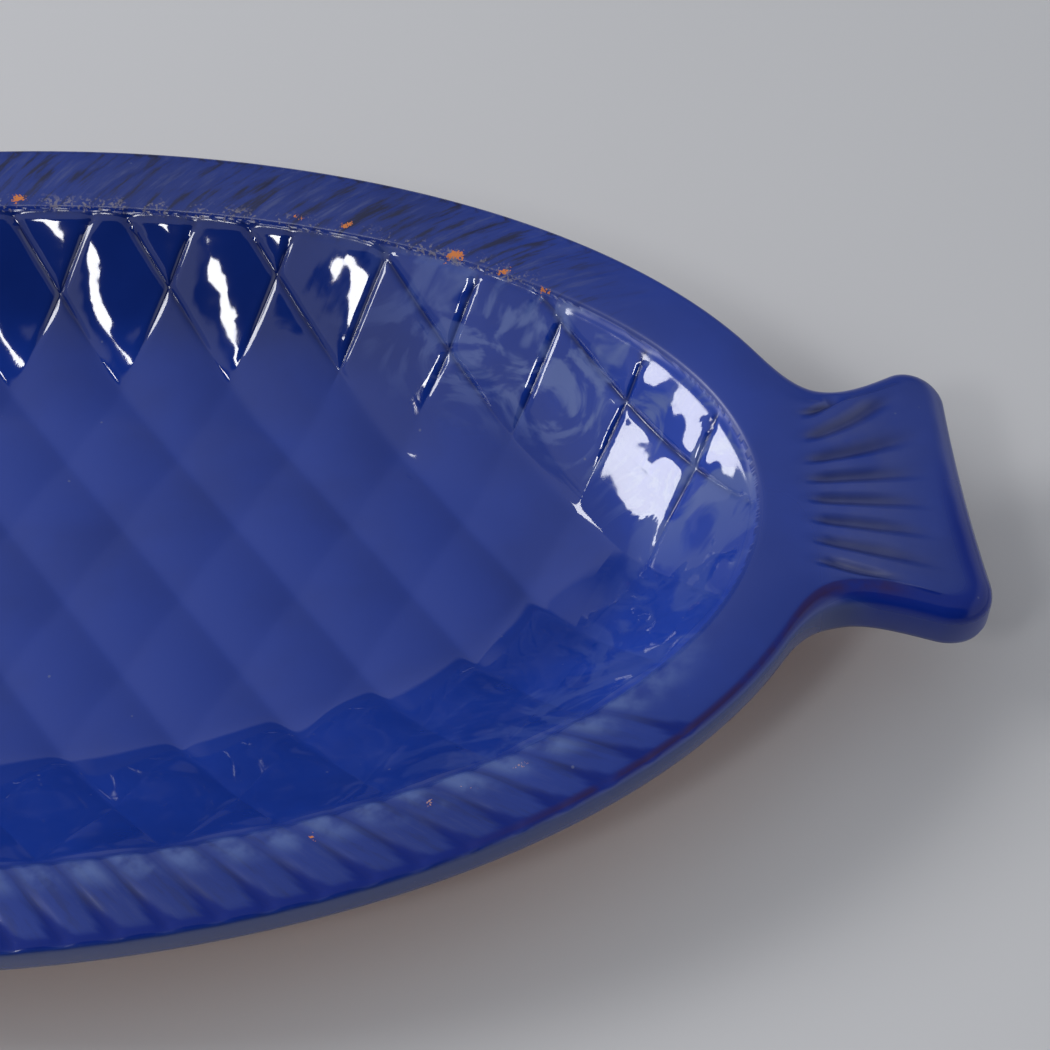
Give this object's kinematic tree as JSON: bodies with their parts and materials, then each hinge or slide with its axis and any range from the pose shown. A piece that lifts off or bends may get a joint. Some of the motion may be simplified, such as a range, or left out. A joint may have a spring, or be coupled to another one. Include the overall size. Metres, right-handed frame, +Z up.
{
  "type": "fish shaped platter",
  "caption": "Oval earthenware serving dish in the shape of a fish, with a scale lattice inside, fluted fins along the rim, a fan tail and a snout, glazed cobalt blue.",
  "frame": {"origin": "On the table under the middle of the platter's bounding box.", "axes": "+X runs along the fish towards its tail, +Y across it, +Z up out of the dish."},
  "size_m": [0.405, 0.2012, 0.0394],
  "materials": {
    "terracotta": "fired earthenware, matt and porous",
    "cobalt_glaze": "glossy cobalt glaze, thin and worn at the edges",
    "foot_clay": "fired earthenware, rubbed smooth where it stands"
  },
  "bodies": {
    "root": {"clay_body": "terracotta", "glaze_coat": "cobalt_glaze", "foot_ring": "foot_clay"}
  },
  "joints": []
}
